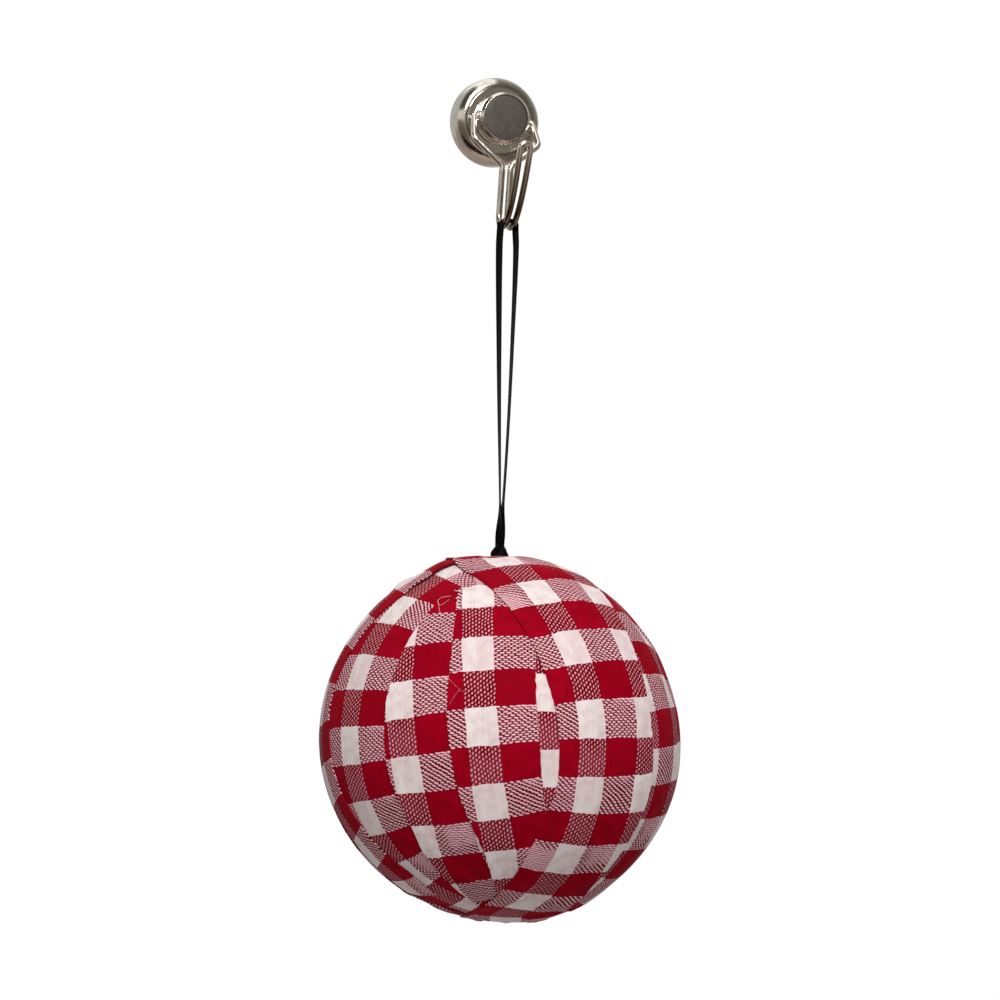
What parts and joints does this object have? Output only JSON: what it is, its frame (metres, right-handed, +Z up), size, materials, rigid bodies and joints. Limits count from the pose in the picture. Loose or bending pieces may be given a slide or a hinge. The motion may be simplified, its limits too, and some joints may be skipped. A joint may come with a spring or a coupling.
{
  "type": "hanging cloth-wrapped ball on a magnetic hook",
  "caption": "Foam ball wrapped in lapped gingham cloth strips, hung by a knotted satin ribbon loop from a magnetic swivel hook with a bent wire arm.",
  "frame": {"origin": "centre of the magnet's flat back face, which lies on the wall", "axes": "+Y points into the wall, -Y out from it, +Z up along the hanging length, X to the side"},
  "size_m": [0.0975, 0.0986, 0.236],
  "materials": {
    "nickel": "bright nickel plate",
    "magnet": "ground flat",
    "steel": "plain",
    "grey_cap": "matte grey",
    "satin": "black satin",
    "foam": "craft foam",
    "gingham": "red and white woven check"
  },
  "bodies": {
    "base": {"magnet_pot": "nickel", "disc_magnet": "magnet", "swivel_rivet": "steel"},
    "hub": {"swivel_hub": "nickel", "hub_cap": "grey_cap"},
    "hook": {"wire_hook": "nickel"},
    "loop": {"ribbon_loop": "satin"},
    "ball": {"ribbon_knot": "satin", "anchor_pin": "steel", "foam_core": "foam", "cloth_strip_01": "gingham", "cloth_strip_02": "gingham", "cloth_strip_03": "gingham", "cloth_strip_04": "gingham", "cloth_strip_05": "gingham", "cloth_strip_06": "gingham", "cloth_strip_07": "gingham", "cloth_strip_08": "gingham", "cloth_strip_09": "gingham", "cloth_strip_10": "gingham", "cloth_strip_11": "gingham", "cloth_strip_12": "gingham"}
  },
  "joints": [
    {"name": "hub_swivel", "type": "hinge", "parent": "base", "child": "hub", "pos_m": [0, -0.0075, 0], "axis": [0, -1, 0], "continuous": true},
    {"name": "hook_swing", "type": "hinge", "parent": "hub", "child": "hook", "pos_m": [0, -0.0098, 0], "axis": [-1, 0, 0], "range_deg": [0, 90]},
    {"name": "loop_swing", "type": "hinge", "parent": "hook", "child": "loop", "pos_m": [0, -0.0208, -0.028], "axis": [-1, 0, 0], "range_deg": [0, 60]},
    {"name": "ball_spin", "type": "hinge", "parent": "loop", "child": "ball", "pos_m": [0, -0.0495, -0.17497], "axis": [0, 0.1917, 0.9815], "range_deg": [-180, 180]}
  ]
}
